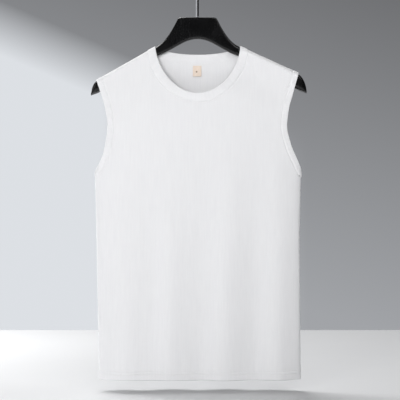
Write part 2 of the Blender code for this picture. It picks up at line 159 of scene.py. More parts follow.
# Hanging folds: a positive depth stands out and a negative one sinks in. Each starts at its top,
# grows down to the hem and leans across as it falls.
FOLD_NAMES = ("across", "spread", "depth", "top", "lean")
FOLD_GROWTH = 1.2
FOLDS = {
    FRONT: table(FOLD_NAMES, (
        (-0.164, 0.035, 0.0100, -0.373, 0.04),
        (-0.080, 0.033, -0.0068, -0.375, -0.04),
        (-0.065, 0.023, 0.0066, -0.363, 0.04),
        (0.014, 0.040, -0.0115, -0.334, 0.00),
        (0.048, 0.024, 0.0068, -0.310, 0.04),
        (0.118, 0.033, -0.0110, -0.280, 0.02),
        (0.169, 0.025, 0.0065, -0.274, 0.01),
    )),
    BACK: table(FOLD_NAMES, (
        (-0.172, 0.028, 0.0060, -0.320, 0.04),
        (-0.118, 0.026, -0.0080, -0.360, 0.03),
        (-0.060, 0.024, 0.0050, -0.420, 0.01),
        (-0.008, 0.030, -0.0070, -0.400, -0.02),
        (0.054, 0.026, 0.0065, -0.340, -0.02),
        (0.108, 0.022, -0.0060, -0.390, 0.00),
        (0.160, 0.032, 0.0055, -0.310, -0.04),
    )),
}

# Small creases, each along a line from its head to its foot and fading at both ends
CREASE_NAMES = ("head_x", "head_z", "foot_x", "foot_z", "spread", "depth")
CREASES = {
    FRONT: table(CREASE_NAMES, (
        (-0.122, -0.440, -0.118, -0.640, 0.0070, 0.0003),
        (-0.108, -0.470, -0.106, -0.600, 0.0060, -0.0003),
        (-0.163, -0.480, -0.154, -0.660, 0.0080, 0.0004),
        (-0.055, -0.430, -0.058, -0.610, 0.0055, 0.0003),
        (-0.043, -0.380, -0.047, -0.600, 0.0060, -0.0003),
        (-0.008, -0.350, -0.012, -0.620, 0.0075, 0.0004),
        (0.075, -0.390, 0.079, -0.560, 0.0065, 0.0003),
        (0.094, -0.420, 0.092, -0.640, 0.0060, -0.0003),
        (0.136, -0.450, 0.132, -0.660, 0.0080, 0.0004),
        (0.178, -0.400, 0.171, -0.560, 0.0090, -0.0005),
        (0.098, -0.158, 0.118, -0.214, 0.0042, 0.0005),
        (0.110, -0.166, 0.126, -0.226, 0.0040, -0.0005),
        (0.122, -0.176, 0.134, -0.236, 0.0048, 0.0004),
        (-0.104, -0.170, -0.092, -0.262, 0.0044, 0.0004),
        (-0.118, -0.180, -0.108, -0.250, 0.0045, -0.0004),
        (-0.176, -0.300, -0.120, -0.318, 0.0080, 0.0008),
        (-0.174, -0.336, -0.128, -0.372, 0.0090, -0.0008),
        (-0.190, -0.384, -0.158, -0.470, 0.0110, 0.0010),
        (0.176, -0.306, 0.128, -0.330, 0.0085, -0.0008),
        (0.186, -0.372, 0.150, -0.420, 0.0100, 0.0009),
        (0.198, -0.392, 0.176, -0.470, 0.0100, -0.0009),
        (-0.030, -0.284, -0.034, -0.360, 0.0100, 0.0005),
        (0.042, -0.280, 0.052, -0.370, 0.0110, -0.0005),
    )),
    BACK: table(CREASE_NAMES, (
        (-0.136, -0.430, -0.130, -0.640, 0.0060, 0.0007),
        (-0.096, -0.450, -0.100, -0.600, 0.0055, -0.0006),
        (-0.034, -0.400, -0.030, -0.590, 0.0060, 0.0007),
        (0.020, -0.440, 0.018, -0.650, 0.0065, -0.0006),
        (0.074, -0.410, 0.078, -0.580, 0.0055, 0.0007),
        (0.128, -0.430, 0.126, -0.630, 0.0060, -0.0007),
        (-0.108, -0.176, -0.122, -0.240, 0.0045, 0.0005),
        (0.112, -0.172, 0.124, -0.250, 0.0045, 0.0005),
        (-0.070, -0.214, -0.030, -0.236, 0.0080, 0.0006),
        (0.030, -0.222, 0.078, -0.214, 0.0080, 0.0006),
        (-0.176, -0.310, -0.116, -0.300, 0.0085, 0.0008),
        (-0.178, -0.350, -0.134, -0.386, 0.0090, -0.0008),
        (0.176, -0.300, 0.120, -0.312, 0.0085, -0.0008),
        (0.184, -0.366, 0.144, -0.410, 0.0100, 0.0009),
        (-0.196, -0.390, -0.166, -0.480, 0.0110, 0.0010),
        (0.196, -0.400, 0.170, -0.486, 0.0100, 0.0009),
        (-0.012, -0.252, 0.004, -0.350, 0.0120, 0.0006),
    )),
}
CREASE_FADE = 1.5  # power of a crease's fade towards its ends
CREASE_CLEAR = 0.040  # sinking creases reach their full depth this far below where the cloth hugs the arm

# Seams. Turned-in cloth raises a welt beside each seam, held by one row of stitches.
SEWN_GAP = 0.00004  # between the edges of two pieces along a seam
VALLEY_DEPTH = 0.00025
VALLEY_SPREAD = 0.0012
WELT_HEIGHT = 0.00022
WELT_WIDTH = 0.0050
WELT_RISE = 0.0014
WELT_FALL = 0.0022
GROOVE_DEPTH = 0.0002
GROOVE_SPREAD = 0.0007
HEM_STITCHES = (0.0118, 0.0182)  # heights of the hem's two rows above its fold
HEM_GROOVE_DEPTH = 2.0 * GROOVE_DEPTH
HEM_GROOVE_SPREAD = 1.3 * GROOVE_SPREAD
HEM_WELT = 0.0003
HEM_PULL = 0.002  # the gathers are strongest this far below the hem's raw edge
HEM_PUCKER = 1.2
SIDE_VALLEY_DEPTH = 0.7 * VALLEY_DEPTH
SIDE_VALLEY_SPREAD = 1.6 * VALLEY_SPREAD
SEAMS_REACH = 0.06  # no neck or armhole seam shapes the cloth further below the underarm than this
PUCKER_REACH = 0.0065
PUCKERS = table(("length", "height", "start"), (
    (0.0079, 0.00008, 1.3),
    (0.0127, 0.00010, 4.0),
    (0.0213, 0.00012, 0.4),
))

# Bands, whose sections have their corners at these shares of the width from free edge to seam
BAND_SHARES = np.array(
    [0.0, 0.01, 0.03, 0.06, 0.1, 0.15, 0.23, 0.33, 0.44, 0.56, 0.67, 0.77, 0.85, 0.91, 0.95, 0.98, 1.0]
)
BAND_ROUND = 0.6  # of its thickness, over which the free edge is rounded
BAND_CROWN = 0.0002
BAND_SINK = 0.0003  # the inner face stands this far inside the cloth's inner surface
BAND_SEAM_SPREAD = 0.0016
RIB_PITCH = 0.0021
RIB_HEIGHT = 0.00011
RIB_START = 0.003  # the ribs rise over this width from the free edge
RIB_PRESSED = 0.6  # share of their height that the ribs lose at the seam
RIB_INSIDE = 0.5  # share of their height that the ribs have on the inner face
RIB_SPACING = 0.00035
TRIM_SPACING = 0.0013

# Where the pieces lie on the flat cloth of their finish, clear of each other
PANEL_LAY = {"across": 0.25, "up": 0.9, "inside": 0.48}
PANEL_EASE = 1.08  # the flat cloth is this many times as wide as it hangs
BAND_LAY = {"outside": 0.03, "inside": 0.06}
LABEL_LAY = {"across": 0.02, "up": 0.1, "inside": 0.04}

# Grids of the panels. A strap meets the chest at its feet, each a share of the way down its edge.
NECK_COLUMNS = 40
STRAP_COLUMNS = 50
NECK_SHARE = 0.38  # of the panel's half width, below the neck
ROUND_COLUMNS = 12
ROUND_SHARE = 0.06
ROLL_ROWS = 12
STRAP_ROWS = {FRONT: 22, BACK: 12}
NECK_FOOT = {FRONT: 3 / 8, BACK: 1 / 6}
ARMHOLE_FOOT = {FRONT: 3 / 14, BACK: 1 / 14}
CHEST_ROWS = 52
BODY_ROWS = 104
CHEST_CROWDING = (0.8, 0.3)  # towards its two ends
STRAP_CROWDING = (0.8, 0.8)


def smooth(xs, ys, x):
    """Height at x of a curve through the points that never swings past them."""
    step = np.diff(xs)
    slope = np.diff(ys) / step
    before, after = slope[:-1], slope[1:]
    same_way = before * after > 0
    mean = 2 * before * after / np.where(same_way, before + after, 1.0)
    tangent = np.concatenate(([slope[0]], np.where(same_way, mean, 0.0), [slope[-1]]))
    x = np.clip(x, xs[0], xs[-1])
    k = np.clip(np.searchsorted(xs, x) - 1, 0, len(step) - 1)
    t = (x - xs[k]) / step[k]
    start = (1 + 2 * t) * (1 - t) ** 2 * ys[k] + t * (1 - t) ** 2 * step[k] * tangent[k]
    end = t**2 * (3 - 2 * t) * ys[k + 1] + t**2 * (t - 1) * step[k] * tangent[k + 1]
    return start + end


def ease(t):
    t = np.clip(t, 0.0, 1.0)
    return t * t * (3 - 2 * t)


def bell(distance, spread):
    return np.exp(-((distance / spread) ** 2))


def unit(vectors):
    return vectors / np.linalg.norm(vectors, axis=-1, keepdims=True)


def section(column, z):
    return smooth(SECTIONS["height"], SECTIONS[column], z) - WALL


def half_width(x, z):
    """Inner half width of the body on the side of x."""
    return np.where(np.asarray(x) < 0, section("left", z), section("right", z))


def ridge(x):
    """Height of the cloth's inner surface along the top of the shoulders."""
    across, height = SHOULDERS["across"], SHOULDERS["height"]
    step = 0.001
    rise = (smooth(across, height, x + step) - smooth(across, height, x - step)) / (2 * step)
    return smooth(across, height, x) - WALL * np.sqrt(1 + rise**2)


def arm_half_depth(x):
    share = np.clip((np.abs(x) - ARM_ROOT) / (ARM_SHOULDER - ARM_ROOT), 0.0, 1.0)
    return ARM_HALF_DEPTH["root"] + (ARM_HALF_DEPTH["end"] - ARM_HALF_DEPTH["root"]) * share


def folds(face, x, z):
    total = np.zeros(np.broadcast(x, z).shape)
    for across, spread, depth, top, lean in zip(*FOLDS[face].values()):
        middle = across + lean * (z - HEM)
        growth = np.clip((top - z) / (top - HEM), 0.0, 1.0) ** FOLD_GROWTH
        total = total + depth * growth * bell(x - middle, spread)
    return total


def creases(face, x, z):
    total = np.zeros(np.broadcast(x, z).shape)
    for head_x, head_z, foot_x, foot_z, spread, depth in zip(*CREASES[face].values()):
        run_x, run_z = foot_x - head_x, foot_z - head_z
        along = ((x - head_x) * run_x + (z - head_z) * run_z) / (run_x**2 + run_z**2)
        off = np.hypot(x - head_x - along * run_x, z - head_z - along * run_z)
        fade = np.sin(math.pi * np.clip(along, 0.0, 1.0)) ** CREASE_FADE
        total = total + depth * fade * bell(off, spread)
    return total


def cloth_depth(face, x, z):
    """Distance of the cloth's inner surface from the garment's middle plane."""
    share = np.clip(np.abs(x) / half_width(x, z), 0.0, 1.0)
    bulge = section("front" if face == FRONT else "back", z)
    body = bulge * np.sqrt(1 - share**SIDE_POWER)
    below = np.clip(ridge(x) - z, 0.0, None)
    arm = arm_half_depth(x) + SEAM_GAP
    hung = arm + (body - arm) * ease((below - HUG_DEPTH) / (FREE_DEPTH - HUG_DEPTH))
    roll = np.sqrt(1 - (1 - np.clip(below / SHOULDER_ROLL, 0.0, 1.0)) ** 2)
    small = creases(face, x, z)
    small = np.where(small < 0, small * ease((below - HUG_DEPTH) / CREASE_CLEAR), small * roll)
    return hung * roll + (folds(face, x, z) + small) * (1 - share**SIDE_CALM)


def outward(face, x, z):
    """Unit normals of the inner surface, pointing out of the garment."""
    step = 0.0002
    across = (cloth_depth(face, x + step, z) - cloth_depth(face, x - step, z)) / (2 * step)
    up = (cloth_depth(face, x, z + step) - cloth_depth(face, x, z - step)) / (2 * step)
    return unit(np.stack((-across, np.full_like(across, face), -up), axis=-1))


def on_cloth(face, x, z):
    """Points of the inner surface and their normals. On a side or a shoulder seam both are level with it."""
    x, z = np.asarray(x, float), np.asarray(z, float)
    inset = 0.0006
    depth = cloth_depth(face, x, z)
    at_seam = depth < inset
    at_side = np.abs(x) > half_width(x, z) - inset
    inner_x = np.where(at_seam & at_side, x - np.sign(x) * inset, x)
    inner_z = np.where(at_seam & ~at_side, z - inset, z)
    normal = outward(face, inner_x, inner_z)
    level = np.clip(depth / inset, 0.0, 1.0)
    normal[..., 1] *= np.where(at_seam, level, 1.0)
    return np.stack((x, face * depth, z), axis=-1), unit(normal)


def roll_drop(u):
    """Drop below the shoulder of a place on the turn over it, from 0 at its top to 1 at its foot."""
    return SHOULDER_ROLL * (1 - np.cos(np.clip(u, 0.0, 1.0) * math.pi / 2))


def neck_line(face, part, side, u, gap=0.0):
    """One side of a neckline, across and up.

    It turns over the shoulder as u runs from 0 to 1, and falls to the middle at 2."""
    sign = -1 if side == "left" else 1
    width = NECK_HALF_WIDTH[part] + gap
    top = float(ridge(NECK_MIDDLE + sign * width))
    drop = top - NECK_LOW[face][part] + gap
    power = NECK_POWER[face]
    start = math.asin((SHOULDER_ROLL / drop) ** (power / 2))
    turn = start + (math.pi / 2 - start) * np.clip(u - 1, 0.0, 1.0)
    down = np.where(u < 1, roll_drop(u), drop * np.sin(turn) ** (2 / power))
    x = NECK_MIDDLE + sign * width * np.sqrt(np.clip(1 - (down / drop) ** power, 0.0, 1.0))
    return np.stack((x, np.where(u < 1, ridge(x), top) - down), axis=-1)


def armhole_edge(side, u):
    """An armhole's finished edge, across and up.

    It turns over the shoulder as u runs from 0 to 1, and ends at the underarm at 2."""
    heights, across = ARMHOLES[side].values()
    foot = ridge(across[-1]) - SHOULDER_ROLL
    fall = 1 - (1 - np.clip(u - 1, 0.0, 1.0)) ** ARMHOLE_GRADING
    z = np.where(u < 1, ridge(across[-1]) - roll_drop(u), foot + (heights[0] - foot) * fall)
    x = smooth(heights, across, z)
    x = x - np.sign(x) * WALL * np.clip(1 - (z - heights[0]) / UNDERARM_TURN, 0.0, 1.0)
    x[-1] = math.copysign(half_width(x[-1], z[-1]), x[-1])
    return np.stack((x, z), axis=-1)


def armhole_seam(side, face, u, gap=0.0):
    """The armhole's finished edge moved over the cloth by the band's width.

    The last place of u is the underarm."""
    x, z = armhole_edge(side, u).T
    points, _ = on_cloth(face, x, z)
    along = np.gradient(points, axis=0)
    along[0] = (0.0, face, 0.0)
    along[-1] = (0.0, -face, 0.0)
    steps = 4
    for _ in range(steps):
        _, normal = on_cloth(face, x, z)
        way = unit(np.cross(normal, along) * face * np.sign(x[0]))
        x = x + way[:, 0] * (TRIM_WIDTH + gap) / steps
        z = z + way[:, 2] * (TRIM_WIDTH + gap) / steps
    z = np.where(u <= 1, ridge(x) - roll_drop(u), z)
    x[-1] = math.copysign(half_width(x[-1], z[-1]), x[-1])
    return np.stack((x, z), axis=-1)


def length_along(points):
    """Distance of each point from the first one, along the line through them."""
    steps = np.linalg.norm(np.diff(points, axis=0), axis=-1)
    return np.concatenate(([0.0], np.cumsum(steps)))


def from_line(points, line):
    """Distance of each point from a line, and how far along the line its nearest place is."""
    distance, place = np.empty(len(points)), np.empty(len(points))
    start, run = line[:-1], np.diff(line, axis=0)
    squared = (run**2).sum(1)
    ahead = length_along(line)[:-1]
    batch = 2000
    for k in range(0, len(points), batch):
        reach = points[k : k + batch, None] - start
        t = np.clip((reach * run).sum(-1) / squared, 0.0, 1.0)
        off = np.linalg.norm(reach - t[..., None] * run, axis=-1)
        near = off.argmin(1)
        row = np.arange(len(near))
        distance[k : k + batch] = off[row, near]
        place[k : k + batch] = ahead[near] + t[row, near] * np.sqrt(squared[near])
    return distance, place


def puckers(along, off):
    """Small uneven gathers that a seam draws up in the cloth beside it."""
    waves = 0.0
    for length, height, start in zip(*PUCKERS.values()):
        waves = waves + height * np.sin(2 * math.pi * along / length + start)
    return waves * np.exp(-off / PUCKER_REACH)


def seam_relief(points, seam, stitches):
    """Height of the cloth over its plain wall beside a seam and its row of stitches."""
    off, along = from_line(points, seam)
    from_stitches, _ = from_line(points, stitches)
    welt = WELT_HEIGHT * ease(off / WELT_RISE) * (1 - ease((off - WELT_WIDTH) / WELT_FALL))
    groove = GROOVE_DEPTH * bell(from_stitches, GROOVE_SPREAD)
    return welt - VALLEY_DEPTH * bell(off, VALLEY_SPREAD) - groove + puckers(along, off)


def straight(start, end, shares):
    t = shares[:, None]
    return start * (1 - t) + end * t


def filled(low, high, left, right, across, up):
    """Rows of points inside four edges that share their corners."""
    across, up = across[..., None], up[..., None]
    rows = low[None] * (1 - up) + high[None] * up
    columns = left[:, None] * (1 - across) + right[:, None] * across
    corners = rows[:, :1] * (1 - across) + rows[:, -1:] * across
    return rows + columns - corners


def crowded(count, ends):
    """Shares from 0 to 1 that stand closer together towards both ends."""
    t = np.linspace(0.0, 1.0, count + 1)
    bend = np.sin(2 * math.pi * t) / (2 * math.pi)
    near, far = ends
    return t - bend * (near * (1 - t) + far * t)


def column_shares():
    """Places of a panel's columns from -1 at its left side to 1 at its right."""
    neck = np.linspace(0.0, NECK_SHARE, NECK_COLUMNS + 1)
    flat = np.linspace(NECK_SHARE, 1 - ROUND_SHARE, STRAP_COLUMNS - ROUND_COLUMNS + 1)[1:]
    rounded = 1 - ROUND_SHARE * (1 - np.linspace(0.0, 1.0, ROUND_COLUMNS + 1)[1:]) ** 2
    half = np.concatenate((neck, flat, rounded))
    return np.concatenate((-half[:0:-1], half))


def hem_levels():
    """Heights of the hem's rows above its fold, close together at the fold and at each row of stitches."""
    fold = np.array([0.0, 0.00015, 0.0005, 0.001, 0.0017])
    beside = np.array([-0.0011, -0.0006, -0.0003, 0.0, 0.0003, 0.0006, 0.0011])
    rows = [height + beside for height in HEM_STITCHES]
    step = HEM_WIDTH + np.array([0.0002, 0.0008])
    first, last, pitch, clear = 0.0035, 0.026, 0.002, 0.0006
    plain = np.arange(first, last, pitch)
    plain = plain[[min(abs(level - row).min() for row in rows) > clear for level in plain]]
    return np.unique(np.concatenate((fold, plain, *rows, step)))


def body_rows(shares, underarm):
    """Rows from the hem to the underarm, whose heights at the two sides are given."""
    hem = hem_levels()
    whole = underarm.mean() - HEM
    levels = np.concatenate((hem / whole, np.linspace(hem[-1] / whole, 1.0, BODY_ROWS + 1)[1:]))
    top = underarm[0] + (underarm[1] - underarm[0]) * (shares + 1) / 2
    z = HEM + levels[:, None] * (top - HEM)
    return np.stack((shares * half_width(shares, z), z), axis=-1)


def grid_quads(index):
    low, high = index[:-1], index[1:]
    corners = (low[:, :-1], low[:, 1:], high[:, 1:], high[:, :-1])
    return np.stack(corners, axis=-1).reshape(-1, 4)


def panel_pattern(face):
    """A panel's points across and up, and its quads: the body, with a strap up each side of the neck."""
    roll = np.linspace(0.0, 1.0, ROLL_ROWS + 1)
    strap_u = np.linspace(0.0, 1.0, STRAP_ROWS[face] + 1)[1:]
    chest_u = crowded(CHEST_ROWS, CHEST_CROWDING)[1:]
    scoop_u = np.linspace(0.0, 1.0, NECK_COLUMNS + 1)[1:]
    arm_u, neck_u = (
        np.concatenate((roll, 1 + share * strap_u, 1 + share + (1 - share) * rest))
        for share, rest in ((ARMHOLE_FOOT[face], chest_u), (NECK_FOOT[face], scoop_u))
    )
    arm = {side: armhole_seam(side, face, arm_u, SEWN_GAP) for side in SIDES}
    neck = {side: neck_line(face, "seam", side, neck_u, SEWN_GAP) for side in SIDES}
    shares = column_shares()
    foot = ROLL_ROWS + STRAP_ROWS[face]
    strap = crowded(STRAP_COLUMNS, STRAP_CROWDING)

    body = body_rows(shares, np.array([arm["left"][-1, 1], arm["right"][-1, 1]]))
    feet = {
        "left": straight(arm["left"][foot], neck["left"][foot], strap),
        "right": straight(neck["right"][foot], arm["right"][foot], strap),
    }
    scoop = np.concatenate((neck["left"][foot + 1 :], neck["right"][foot + 1 : -1][::-1]))
    chest_top = np.concatenate((feet["left"], scoop, feet["right"]))
    left, right = arm["left"][foot:][::-1], arm["right"][foot:][::-1]
    up = 1 - np.concatenate(([0.0], chest_u))[::-1]
    across_low = (body[-1, :, 0] - body[-1, 0, 0]) / (body[-1, -1, 0] - body[-1, 0, 0])
    across_high = (chest_top[:, 0] - chest_top[0, 0]) / (chest_top[-1, 0] - chest_top[0, 0])
    up = up[:, None] * np.ones(len(shares))
    across = across_low * (1 - up) + across_high * up
    chest = filled(body[-1], chest_top, left, right, across, up)
    grid = np.concatenate((body, chest[1:]))
    index = np.arange(grid.shape[0] * grid.shape[1]).reshape(grid.shape[:2])
    points, quads = [grid.reshape(-1, 2)], [grid_quads(index)]

    ends = {"left": (arm["left"], neck["left"]), "right": (neck["right"], arm["right"])}
    shared = {"left": index[-1, : len(strap)], "right": index[-1, -len(strap) :]}
    count = index.size
    for side in SIDES:
        left, right = (edge[foot::-1] for edge in ends[side])
        top = straight(left[-1], right[-1], strap)
        up = np.linspace(0.0, 1.0, foot + 1)[:, None] * np.ones(len(strap))
        rows = filled(feet[side], top, left, right, strap * np.ones_like(up), up)
        for drop, row in zip(roll_drop(roll), rows[::-1]):
            row[:, 1] = ridge(row[:, 0]) - drop
        rows = rows[1:]
        own = count + np.arange(rows.shape[0] * rows.shape[1]).reshape(rows.shape[:2])
        points.append(rows.reshape(-1, 2))
        quads.append(grid_quads(np.concatenate((shared[side][None], own))))
        count += own.size
    return np.concatenate(points), np.concatenate(quads)


def place_line(face, pattern):
    """Points of the cloth's inner surface along a line of the pattern."""
    return on_cloth(face, *pattern.T)[0]


def turn_and_fall(turn, fall):
    """Places along an edge: steps over the turn at the shoulder from 0 to 1, and down to its end at 2."""
    return np.concatenate((np.linspace(0.0, 1.0, turn + 1), np.linspace(1.0, 2.0, fall + 1)[1:]))


LINE_PLACES = turn_and_fall(12, 90)


def neck_path(face, part, gap):
    """Pattern of a whole neckline from the left shoulder to the right."""
    left, right = (neck_line(face, part, side, LINE_PLACES, gap) for side in SIDES)
    return np.concatenate((left, right[-2::-1]))


def sewn_lines(face):
    """The seams of a panel with the rows of stitches beside them, as lines of the pattern."""
    lines = {"neck": tuple(neck_path(face, "seam", off) for off in (SEWN_GAP, WELT_WIDTH))}
    for side in SIDES:
        lines[side] = tuple(armhole_seam(side, face, LINE_PLACES, off) for off in (SEWN_GAP, WELT_WIDTH))
    return lines


def panel_relief(face, points):
    """Height of a panel's outer face over its plain wall."""
    relief = np.zeros(len(points))
    x, y, z = points.T
    upper = z > UNDERARM - SEAMS_REACH
    for seam, stitches in sewn_lines(face).values():
        relief[upper] += seam_relief(points[upper], place_line(face, seam), place_line(face, stitches))
    middle = np.abs(y)
    from_side = np.hypot(half_width(x, z) - np.abs(x), middle)
    from_top = np.hypot(ridge(x) - z, middle)
    edge = np.where(z < UNDERARM, from_side, from_top)
    relief -= SIDE_VALLEY_DEPTH * bell(edge, SIDE_VALLEY_SPREAD)
    relief += np.where(z < UNDERARM, 1, 0) * puckers(z, edge)
    for height in HEM_STITCHES:
        relief -= HEM_GROOVE_DEPTH * bell(z - HEM - height, HEM_GROOVE_SPREAD)
    above = z - HEM - HEM_WIDTH
    relief += HEM_WELT * (1 - ease(above / HEM_PULL))
    relief += puckers(x, np.abs(above + HEM_PULL)) * HEM_PUCKER
    return relief


def placed(name, data):
    """A new object in the scene."""
    made = bpy.data.objects.new(name, data)
    bpy.context.scene.collection.objects.link(made)
    return made


def smooth_mesh(name, points, faces, material):
    mesh = bpy.data.meshes.new(name)
    mesh.from_pydata(points.tolist(), [], faces)
    mesh.materials.append(material)
    mesh.shade_smooth()
    return mesh


def new_mesh(name, points, faces, material, uv, sharp=60):
    """A mesh object whose faces point outwards, smooth but for its sharp edges."""
    points, faces = np.asarray(points, float), np.asarray(faces)
    a, b, c, d = (points[faces[:, k]] for k in range(4))
    volume = (np.cross(a, b) * c).sum() + (np.cross(a, c) * d).sum()
    if volume < 0:
        faces = faces[:, ::-1]
    mesh = smooth_mesh(name, points, faces.tolist(), material)
    layer = mesh.uv_layers.new(name="cloth")
    layer.data.foreach_set("uv", uv[faces.ravel()].astype(np.float32).ravel())
    mesh.set_sharp_from_angle(angle=math.radians(sharp))
    return placed(name, mesh)


def wall_faces(count, quads):
    """Quads of a wall between two like sheets, closed along every free edge."""
    inside = quads[:, ::-1] + count
    starts, ends = quads.ravel(), np.roll(quads, -1, axis=1).ravel()
    back = ends * count + starts
    free = ~np.isin(starts * count + ends, back)
    start, end = starts[free], ends[free]
    rims = np.stack((end, start, start + count, end + count), axis=1)
    return np.concatenate((quads, inside, rims))


def thin_wall(name, outer, inner, quads, material, uv, inside):
    """A closed wall between two like sheets. Its inside lies further across on the flat cloth."""
    points = np.concatenate((outer, inner))
    uv = np.concatenate((uv, uv + (inside, 0.0)))
    return new_mesh(name, points, wall_faces(len(outer), quads), material, uv)


def fold_round(height, out, inn, radius):
    """Turns the two offsets of a wall round to meet, but for a narrow flat, at a fold."""
    middle, half = (out + inn) / 2, (out - inn) / 2
    flat = 0.08
    share = np.maximum(np.sqrt(1 - (1 - np.clip(height / radius, 0.0, 1.0)) ** 2), flat)
    return middle + half * share, middle - half * share


def panel(name, face, material):
    """A cut panel of the body: a thin wall with its seams' welts, creases and turned hem."""
    pattern, quads = panel_pattern(face)
    points, normals = on_cloth(face, *pattern.T)
    relief = panel_relief(face, points)
    points[:, 1] = face * np.maximum(np.abs(points[:, 1]), SEWN_GAP / 2)
    height = pattern[:, 1] - HEM
    turned = HEM_TURN * (1 - ease((height - HEM_WIDTH + HEM_STEP) / HEM_STEP))
    out, inn = fold_round(height, WALL + relief, -turned, FOLD_RADIUS)
    outer = points + normals * out[:, None]
    inner = points + normals * inn[:, None]
    uv = np.stack((PANEL_LAY["across"] + pattern[:, 0] * PANEL_EASE, PANEL_LAY["up"] + pattern[:, 1]), axis=1)
    return thin_wall(name, outer, inner, quads, material, uv, PANEL_LAY["inside"])


def between(places, known, values):
    """Values at the places, from those at the known places."""
    return np.stack([np.interp(places, known, column) for column in values.T], axis=-1)


def evenly(line, spacing):
    """Places along a line of points, evenly spaced, as shares of its list."""
    length = length_along(line)
    count = max(int(round(length[-1] / spacing)), 1)
    return np.interp(np.linspace(0.0, length[-1], count + 1), length, np.arange(len(line)))


def rib_wave(along):
    """Rounded ribs with narrow furrows between them."""
    return 1 - 2 * np.abs(np.sin(math.pi * along / RIB_PITCH)) ** 3


def band(name, walk, thickness, material, spacing, rib_height=0.0):
    """A folded band sewn on: sections from its free edge to its seam, over its outer face and back inside.

    walk lists the stretches of the band in order, each as its face, its line of free edge, its seam, and
    how far each place has dropped in the turn over the shoulder."""
    across = np.concatenate((BAND_SHARES, BAND_SHARES[:0:-2]))
    outside = np.arange(len(across)) < len(BAND_SHARES)
    loops, uvs, start = [], [], 0.0
    for face, edge, seam, drops in walk:
        middle = place_line(face, (edge + seam) / 2)
        place = evenly(middle, spacing)
        index = np.arange(len(edge))
        edge, seam = between(place, index, edge), between(place, index, seam)
        drops = np.interp(place, index, drops)
        along = start + np.linspace(0.0, length_along(middle)[-1], len(place))
        start = along[-1]
        spots = edge[:, None] * (1 - across[:, None]) + seam[:, None] * across[:, None]
        rolled = np.isfinite(drops)
        spots[rolled, :, 1] = ridge(spots[rolled, :, 0]) - drops[rolled, None]
        points, normals = on_cloth(face, spots[..., 0], spots[..., 1])
        width = np.linalg.norm(points[:, len(BAND_SHARES) - 1] - points[:, 0], axis=-1)[:, None]
        off = across * width
        soft = np.sqrt(1 - (1 - np.clip(off / (BAND_ROUND * thickness), 0.0, 1.0)) ** 2)
        at_seam = bell(width - off, BAND_SEAM_SPREAD)
        step_down = thickness - WALL + VALLEY_DEPTH
        crown = BAND_CROWN * np.sin(math.pi * across)
        ribs = rib_height * rib_wave(along)[:, None] * ease(off / RIB_START)
        pulled = puckers(along[:, None], width - off)
        raised = thickness / 2 + crown + ribs * (1 - RIB_PRESSED * at_seam)
        out = thickness / 2 + raised * soft - step_down * at_seam + pulled
        inn = thickness / 2 * (1 - soft) - (BAND_SINK + RIB_INSIDE * ribs) * soft * (1 - at_seam)
        offset = np.where(outside, out, inn)
        loops.append((points + normals * offset[..., None])[:-1])
        v = np.where(outside, BAND_LAY["outside"] - off, BAND_LAY["inside"] + off)
        uvs.append(np.stack((np.broadcast_to(along[:, None], v.shape), v), axis=-1)[:-1])
    rings, uv = np.concatenate(loops), np.concatenate(uvs)
    count, around = rings.shape[:2]
    index = np.arange(count * around).reshape(count, around)
    index = np.concatenate((index, index[:, :1]), axis=1)
    index = np.concatenate((index, index[:1]))
    return new_mesh(name, rings.reshape(-1, 3), grid_quads(index), material, uv.reshape(-1, 2), sharp=70)


BAND_PLACES = turn_and_fall(24, 160)
BAND_DROPS = np.where(BAND_PLACES <= 1, roll_drop(BAND_PLACES), np.nan)


def stretch(face, edge, seam, backwards):
    """One stretch of a band, from the shoulder or towards it."""
    parts = (edge, seam, BAND_DROPS)
    return (face, *(part[::-1] if backwards else part for part in parts))


def neckband(name, material):
    walk = []
    for face, first, second in ((FRONT, "left", "right"), (BACK, "right", "left")):
        for side, backwards in ((first, False), (second, True)):
            edge, seam = (neck_line(face, part, side, BAND_PLACES) for part in ("edge", "seam"))
            walk.append(stretch(face, edge, seam, backwards))
    return band(name, walk, RIB_WALL, material, RIB_SPACING, RIB_HEIGHT)


def armhole_band(name, side, material):
    walk = [
        stretch(face, armhole_edge(side, BAND_PLACES), armhole_seam(side, face, BAND_PLACES), backwards)
        for face, backwards in ((FRONT, False), (BACK, True))
    ]
    return band(name, walk, TRIM_WALL, material, TRIM_SPACING)


# Tools


def only(made):
    """Selects one object alone and makes it the one that the tools act on."""
    bpy.ops.object.select_all(action="DESELECT")
    made.select_set(True)
    bpy.context.view_layer.objects.active = made


def start_editing(made):
    """Opens one object to the editing tools with all of it selected."""
    only(made)
    bpy.ops.object.mode_set(mode="EDIT")
    bpy.ops.mesh.select_all(action="SELECT")


def raise_up(height):
    """Extrudes what is selected straight up, or down where the height is negative."""
    bpy.ops.mesh.extrude_region_move(TRANSFORM_OT_translate={"value": (0, 0, height)})


def end_editing():
    """Turns all the faces outwards and closes the object."""
    bpy.ops.mesh.select_all(action="SELECT")
    bpy.ops.mesh.normals_make_consistent(inside=False)
    bpy.ops.object.mode_set(mode="OBJECT")


# Stitches
STITCH_PITCH = 0.0027
STITCH_LENGTH = 0.0023
STITCH_RADIUS = 0.00026
STITCH_SIDES = 5


